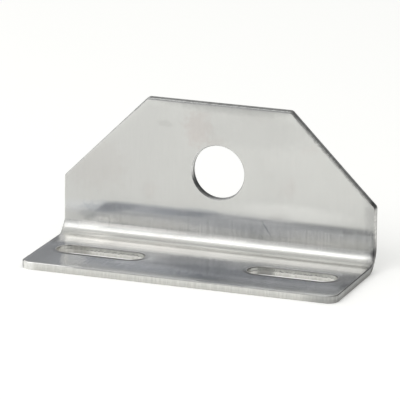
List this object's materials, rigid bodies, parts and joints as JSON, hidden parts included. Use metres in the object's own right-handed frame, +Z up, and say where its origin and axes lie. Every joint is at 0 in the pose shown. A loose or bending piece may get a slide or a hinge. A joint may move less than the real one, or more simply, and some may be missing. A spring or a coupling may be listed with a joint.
{
  "type": "angle bracket",
  "caption": "Folded stainless sheet angle bracket: an upright leg with clipped top corners and a round hole, and a flat flange with a pair of long slots.",
  "frame": {"origin": "middle of the rectangle that the bracket covers on the surface it stands on, at the flange's underside", "axes": "+X along the fold, +Y from the flange's front edge to the back of the leg, +Z up the leg"},
  "size_m": [0.12, 0.0466, 0.0565],
  "materials": {
    "stainless_sheet": "bright rolled stainless sheet, satin to the touch, with fine handling marks and deburred edges"
  },
  "bodies": {
    "root": {"angle_bracket": "stainless_sheet"}
  },
  "joints": []
}
